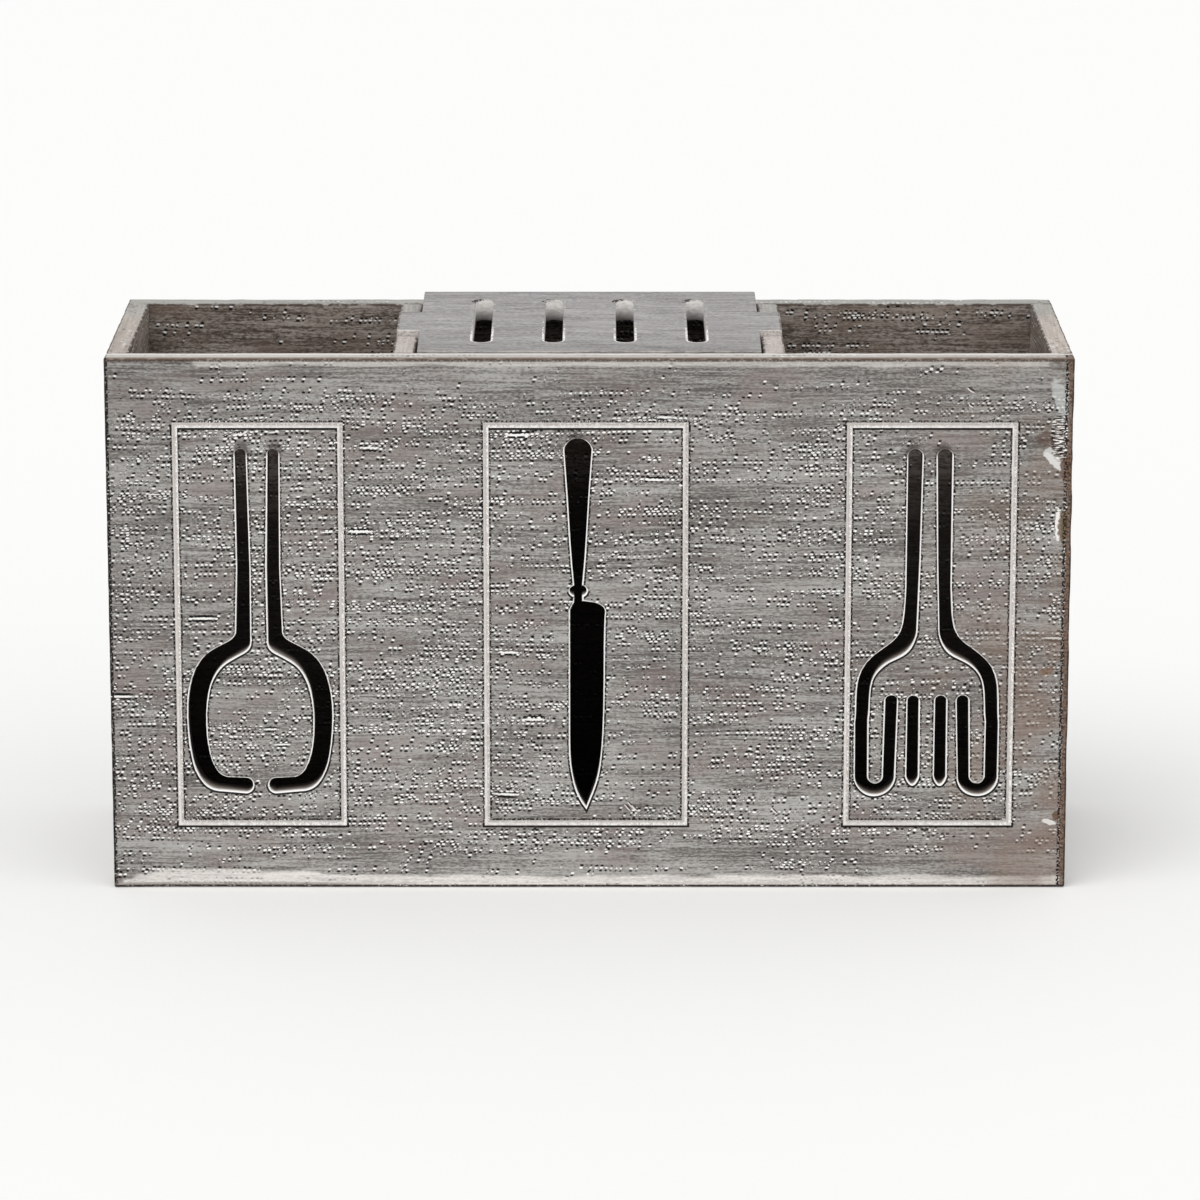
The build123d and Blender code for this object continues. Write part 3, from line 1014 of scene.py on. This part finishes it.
nicks = [  # place, half length and half width in mm, and lean in degrees
    ((141.6, 191.9), (1.6, 0.5), -35),
    ((141.7, 186.0), (1.0, 0.4), -35),
    ((14.3, 31.2), (1.9, 0.28), -48),
    ((15.7, 31.9), (2.1, 0.28), -48),
    ((17.0, 31.0), (1.7, 0.28), -48),
    ((69.7, 29.9), (1.6, 0.28), -45)]


def nick(place, outer, color):
    """Adds the short leaning scratches to the outer face, each white with a dark side."""
    for middle, half, lean in nicks:
        turned = leaning(place, middle, lean)
        for shift, bare in ((0.0, (240, 226, 223)), (-0.45, (24, 19, 17))):
            away = oval(move("ADD", turned, (0, 0, shift)), half)
            color = brushed(color, bare, between(away, 1.1, 0.8, 0.0, 0.9), outer)
    return color


# Places above the tops of the long strokes that get painted shade, in mm.
shaded_stroke_tops = [(-129.4, 169.6), (-117.2, 170.2), (120.6, 168.8), (131.8, 168.8), (-4.9, 173.4)]


def paint_stroke_top_shade(place, outer, color):
    """Adds the soft painted shade above the tops of the long strokes."""
    for middle in shaded_stroke_tops:
        away = oval(leaning(place, middle), (3.6, 3.4))
        color = brushed(color, (62, 54, 50), between(away, 1.3, 0.35, 0.0, 0.8), outer)
    return color


def front_wash(place, spot, edges, top):
    """The grey wash of the front: its outputs, and its colour with the tone and the brown of the place."""
    patchy = times(spots(place, (11, 3, 2.5), detail=4), 0.9)
    rubbed = between(plus(painted(place, "rubbed"), patchy), 0.62, 1.15, 0.0, 0.95)
    pale = largest(times(edges["Worn"], 0.5), top, rubbed)
    filled = times(between(spot["Z"], 196.0, 184.0, 0.5, 1.0), between(spot["X"], -60.0, 10.0, 1.0, 0.86),
                   between(spot["Z"], 10.0, 22.0, 0.6, 1.0))
    bare = blend(between(spot["Z"], 30.0, 60.0), (223, 218, 213), (194, 190, 185))
    washed = use_group(wash, {"Place": place, "Pores": filled, "Rubbed": pale, "Pale": bare})
    far = between(calculate("ABSOLUTE", spot["X"]), 105.0, 172.0, 0.0, 0.08)
    high = between(spot["Z"], 160.0, 196.0, 0.0, 0.09)
    tone = minus(between(spot["Z"], 90.0, 12.0, 1.0, 1.06), plus(far, high))
    toned = dimmed(washed["Color"], largest(tone, pale))
    browned = brushed(toned, (134, 114, 101), between(spot["X"], 90.0, 176.0, 0.0, 0.9),
                      between(spots(place, (30, 20, 22), detail=3), 0.38, 0.62),
                      between(spot["Z"], 130.0, 90.0, 0.4, 0.65))
    return washed, browned


def finish_rims(place, spot, top, depth, dots, color):
    """Adds the marks along the rims of the front: its top, its left end and its bottom edge, with a painted
    highlight along the back edge of the top and a band of painted shade low on the face at the left.
    """
    back = plus(depth, spots(place, (5, 1.2, 3)))
    below = minus(top_level, spot["Z"])
    return marked(color, (
        ((124, 106, 93), top, between(back, 4.2, 1.0, 0.0, 0.8)),
        # Painted highlight: a thin white line along the back edge of the top.
        ((250, 244, 239), top, between(back, 7.6, 8.4, 0.0, 0.75)),
        ((20, 16, 14), between(spot["X"], -178.4, -178.8), between(dots, 0.38, 0.48),
         between(depth, 1.2, 0.6)),
        # Painted shade: a soft grey band just above the bottom edge, at the left.
        ((122, 114, 108), between(spot["Z"], 2.2, 1.4), between(spot["X"], -60.0, -110.0, 0.0, 0.6)),
        ((56, 47, 41), between(spot["Z"], 1.1, 0.7), between(dots, 0.3, 0.45)),
        ((74, 60, 51), between(below, 1.6, 1.1), between(below, 0.35, 0.6),
         between(dots, 0.35, 0.55, 0.55, 0.9))))


def front_finish():
    """The finish of the front board: the wash, the stain beside the cuts, the marks of use, and painted
    shade and a painted highlight.
    """
    material, place = start_material("front_board_wash")
    spot = parts(place)
    top = use_group(zones, {"Place": place})["Top"]
    edges = edges_of(place, "front_board", 0.35)
    washed, color = front_wash(place, spot, edges, top)
    dots = spots(place, (0.8, 3, 0.8), detail=0)
    depth = minus(spot["Y"], front_low.y / mm)
    outer = between(depth, 2.0, 1.2)
    stain = largest(painted(place, "lined"), groove_stain(place))
    line = between(plus(stain, dots), 1.03, 1.12, 0.0, 0.97)
    color = paint_stroke_top_shade(place, outer, brushed(color, (14, 11, 10), line, outer))
    color = brushed(scrape(place, color, dots), (52, 40, 33), edges["Stained"], 0.9)
    color = finish_rims(place, spot, top, depth, dots, nick(place, outer, color))
    return finish_surface(material, color, washed["Roughness"], washed["Height"], 0.12)


# %% [markdown]
# ## Cut wood
#
# The router left the grooves and the mouths of the cut-outs in bare pale wood. Lips that face up are
# painted whiter as painted light from above, lips that face down darker as painted shade. The walls of
# the cut-outs go from that mouth to the dark inside as painted shade, which starts deeper on walls that
# face up.

# %% Cut wood finish
def cut_finish_painted_light():
    """Bare cut wood with painted light: whiter where it faces up, darker where it faces down and towards the
    inner face, as painted shade.
    """
    material, place = start_material("cut_wood_painted_light")
    facing = facing_of(place)
    fine = spots(place, (1.8, 1.8, 1.8), detail=3)
    uneven = plus(facing["Z"], minus(fine, 0.5))
    speck = between(spots(place, (0.8, 3, 0.8), detail=1), 0.53, 0.58)
    specked = blend(speck, (206, 200, 195), (253, 250, 247))
    side = blend(between(facing["X"], 0.2, -0.2), (218, 211, 206), specked)
    # Painted light and shade: lips that face down are darker, lips that face up whiter.
    groove_shade_by_facing = blend(between(uneven, -0.7, 0.0), (180, 175, 171), side)
    mouth_shade_by_facing = blend(between(uneven, -0.45, -0.1), (70, 64, 60), (253, 251, 248))
    lit_from_above = between(uneven, 0.0, 0.6)
    groove, mouth = (brushed(shaded_lip, (255, 254, 252), lit_from_above) for shaded_lip in (groove_shade_by_facing, mouth_shade_by_facing))
    bright = paint_stroke_top_shade(place, 1.0, blend(between(panel_distance(place), 1.5, 1.8), groove, mouth))
    depth = minus(parts(place)["Y"], front_low.y / mm)
    walls = brushed(bright, (188, 174, 164), between(depth, 0.9, 2.4))
    # Painted shade inside the cut-outs: the walls darken with depth, later where they face up.
    reach = between(facing["Z"], 0.2, 0.9, 3.0, 9.5)
    walls = brushed(walls, (48, 41, 37), between(plus(depth, fine), 1.2, reach))
    return finish_surface(material, walls, between(fine, 0.2, 0.8, 0.85, 0.7), fine, 0.08)


print("front finishes ready")

# %% Front board
cut_slot = 1  # the second material of a piece
front = front_shell(front_low, front_high)
add_walls(front, front_low, front_high)
front.verts.layers.float.new("lined")
front.normal_update()
cut_faces = {face for face in front.faces
             if panel_gap(face.calc_center_median()) < groove_half
             and not on_level(face, front_low.y) and not on_level(face, front_high.y)}
cut_faces |= set(flare_mouths(front, front_low.y, 1, mouth_round, lined=True))
cut_faces |= set(flare_mouths(front, front_high.y, -1, inner_mouth_round))
for face in cut_faces:
    face.material_index = cut_slot
add_pocket(front, front_low, open_brad)
fill_flat(front, front_low.y, -1, lambda spot: panel_gap(spot) > 0)
fill_flat(front, front_low.y, -1, lambda spot: panel_gap(spot) < 0)
fill_flat(front, front_high.y, 1)
wear_edges(front, front_low, front_high, front_wear, seed=8.0, width=3 * mm)
rub_front(front, front_low, front_high)
print("front board: open edges", sum(edge.is_boundary for edge in front.edges))
make_piece(front, "front_board_fretted", "front_board", "box", [front_finish(), cut_finish_painted_light()])

# %% [markdown]
# ## Dividers
#
# A divider is a board with a notch in its top edge. The cube is cut by two upright planes and by the
# leaning floor of the notch, the block above that floor is taken out, and the two open chains are
# bridged, which makes both walls and the floor of the notch at once.

# %% Dividers
plate_lean = math.radians(2.65)
plate_top = 206.8 * mm  # at mid depth
plate_thick = 8.2 * mm
notch_drop = 8.25 * mm  # from the plate's top to the floor of the notch
notch_half = 15.78 * mm
plate_up = Vector((0, -math.sin(plate_lean), math.cos(plate_lean)))
notch_floor = Vector((0, 0, plate_top)) - plate_up * notch_drop


def notched_board(low, high):
    """A divider: a board with a leaning notch, all its free edges rounded."""
    bm = scaled_cube(low, high)
    slice_at(bm, 1, [-notch_half, notch_half])

    def in_column(face):
        return abs(face.calc_center_median().y) < notch_half * 0.99

    column = [face for face in bm.faces if in_column(face)]
    bmesh.ops.bisect_plane(bm, geom=with_borders(column), plane_co=notch_floor, plane_no=plate_up,
                           dist=on_plane)
    above = [face for face in bm.faces
             if in_column(face) and (face.calc_center_median() - notch_floor).dot(plate_up) > 0]
    bmesh.ops.delete(bm, geom=above, context="FACES")
    sides = [edge for edge in bm.edges
             if edge.is_boundary and abs(edge.verts[0].co.x - edge.verts[1].co.x) < 0.1 * mm]
    bmesh.ops.bridge_loops(bm, edges=sides)
    bmesh.ops.recalc_face_normals(bm, faces=bm.faces)
    hard = [edge for edge in bm.edges
            if edge.calc_face_angle_signed() > 1.0
            and min(abs(edge.verts[0].co.y - end) + abs(edge.verts[1].co.y - end)
                    for end in (low.y, high.y)) > 0.1 * mm]
    ease(bm, hard)
    return bm


for side, moved, seed in (("left", (75.0, 130.0, -20.0), 21.0), ("right", (-210.0, 15.0, 140.0), 34.0)):
    node = side + "_divider"
    low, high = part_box(node)
    divider = notched_board(low, high)
    band_cells(divider, low, high)
    wear_edges(divider, low, high, side_wear, seed)
    make_piece(divider, node + "_notched", node, "box",
               [board_finish(node + "_wash", node, True, moved, (188, 179, 174))])

# %% [markdown]
# ## Knife plate
#
# The plate is smoother than the box: it was planed, stained grey and hardly washed. Its CAD mesh is
# laid level and stood on end first, so that its slots can be flared along Y as on the front board. The
# rims of the slots are worn white towards the front, and dark at the left of their rear ends.

# %% Knife plate
top_mouth_round = 0.4 * mm
under_mouth_round = 0.5 * mm
level_turn = Matrix.Rotation(-plate_lean, 4, "X") @ Matrix.Translation((0, 0, -plate_top))
stand_up = Matrix.Rotation(math.pi / 2, 4, "X")
plate = merged_copy("knife_plate")
bmesh.ops.transform(plate, matrix=stand_up @ level_turn, verts=plate.verts)
top_face, under_face = min(vert.co.y for vert in plate.verts), max(vert.co.y for vert in plate.verts)
print("plate lies between", round(top_face / mm, 2), "and", round(under_face / mm, 2), "mm")
flat_faces = [face for face in plate.faces if on_level(face, top_face) or on_level(face, under_face)]
bmesh.ops.delete(plate, geom=flat_faces, context="FACES")
plate.normal_update()
slot_faces = {face for face in plate.faces
              if abs(face.normal.y) < 0.01 and max(vert.co.y for vert in face.verts)
              - min(vert.co.y for vert in face.verts) > 0.999 * plate_thick}
flare_mouths(plate, top_face, 1, top_mouth_round)
slot_faces |= set(flare_mouths(plate, under_face, -1, under_mouth_round))
for face in slot_faces:
    face.material_index = cut_slot
fill_flat(plate, top_face, -1)
fill_flat(plate, under_face, 1)
bmesh.ops.transform(plate, matrix=(stand_up @ level_turn).inverted(), verts=plate.verts)
print("plate: open edges", sum(edge.is_boundary for edge in plate.edges))


slot_pitch, slot_half, slot_reach = 27.0, 3.45, 31.15  # the last is where the round ends start
plate_half = 49.1  # from the middle to the front


def slot_gap(level):
    """How far a place on the plate lies outside the nearest slot."""
    folded = parts(move("ABSOLUTE", level))
    aside = calculate("ABSOLUTE", minus(folded["X"], slot_pitch))
    aside = calculate("ABSOLUTE", minus(aside, slot_pitch / 2))
    beyond = largest(minus(folded["Y"], slot_reach), 0.0)
    offset = add(level.id_data, "CombineXYZ", {"X": aside, "Y": beyond}).outputs[0]
    return minus(length(offset, (1, 1, 1)), slot_half)


def plate_marks(place, level, along, color):
    """Adds the pale sides of the tabs, the worn rims of the slots and their singed left sides."""
    gap, fine = slot_gap(level), spots(place, (0.9, 0.9, 0.9), detail=1)
    front_side = facing_of(place)["Y"]
    worn = plus(fine, between(along, 5.0, -31.0, -0.16, 0.12))
    leftmost = calculate("FLOORED_MODULO", parts(level)["X"], slot_pitch)
    return marked(color, (
        ((234, 226, 220), between(front_side, -0.3, -0.7), between(along, -30.0, -20.0),
         between(fine, 0.35, 0.6, 0.4, 0.85)),
        ((244, 241, 238), between(gap, 1.0, 0.75), between(worn, 0.5, 0.56)),
        ((26, 21, 18), between(gap, 1.9, 1.5), between(along, 29.5, 31.5),
         between(leftmost, slot_pitch / 2 + 0.5, slot_pitch / 2 - 1.5), between(fine, 0.44, 0.50))))


def plate_finish():
    """Smooth grey stain with a hint of grain, rubbed pale along its edges."""
    material, place = start_material("plate_wash")
    offset = move("SUBTRACT", place, (0, 0, plate_top / mm))
    level = add(place.id_data, "Mapping", {"Vector": offset, "Rotation": (-plate_lean, 0, 0)}).outputs[0]
    along = parts(level)["Y"]
    half_thick = plate_thick / mm / 2
    edges = use_group(edge_wear, {
        "Place": level, "Middle": (0, 0, -half_thick), "Width": 0.6,
        "Half Size": (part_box("knife_plate")[1].x / mm, plate_half, half_thick)})
    surface = use_group(wash, {
        "Place": level, "Stain": paint(124, 121, 119), "Wash": paint(184, 182, 181),
        "Warm": paint(152, 148, 147), "Pores": -1.0, "Contrast": 0.9, "Rubbed": edges["Worn"]})
    shade = plus(between(along, 22.0, 44.0, 0.0, 0.07), between(along, -20.0, -46.0, 0.0, 0.14))
    toned = dimmed(surface["Color"], minus(1.01, shade))
    color = brushed(toned, (80, 70, 63), edges["Stained"], between(along, -47.5, -46.5, 0.0, 0.7))
    color = plate_marks(place, level, along, color)
    return finish_surface(material, color, surface["Roughness"], surface["Height"], 0.05)


def slot_finish_painted_shade():
    """Bare wood in the slots, pale at the mouth and darker below as painted shade inside the slot."""
    material, place = start_material("slot_wood_shaded")
    height = parts(place)["Z"]
    # Painted shade: the slot walls darken downwards from the top face.
    share = between(height, (plate_top - plate_thick) / mm - 1, plate_top / mm - 0.5)
    fine = spots(place, (2.5, 2.5, 0.8), detail=3)
    bright = blend(between(fine, 0.3, 0.65), (222, 218, 214), (250, 248, 245))
    color = blend(share, (62, 57, 54), bright)
    return finish_surface(material, color, 0.8, fine, 0.06)


make_piece(plate, "knife_plate_slotted", "knife_plate", "knife_plate", [plate_finish(), slot_finish_painted_shade()])

# %% [markdown]
# ## Brads
#
# The brads stay as the CAD gives them. Only their heads show, dull steel with some of the wash on it.

# %% Brad finish
def brad_finish():
    """Dull steel, partly covered with grey wash."""
    material, place = start_material("brad_steel_dull")
    washed = between(spots(place, (0.9, 0.9, 0.9), detail=3), 0.42, 0.58)
    fine = spots(place, (0.3, 0.3, 0.3), detail=2)
    color = blend(washed, (112, 108, 104), (150, 146, 141))
    return finish_surface(material, color, between(washed, 0.0, 1.0, 0.42, 0.75), fine, 0.03,
                          metallic=minus(1.0, washed))


dull_steel = brad_finish()
for node, piece in frame["nodes"].items():
    if node.endswith("brads"):
        piece.data.materials.clear()
        piece.data.materials.append(dull_steel)
        print(node, "finished")
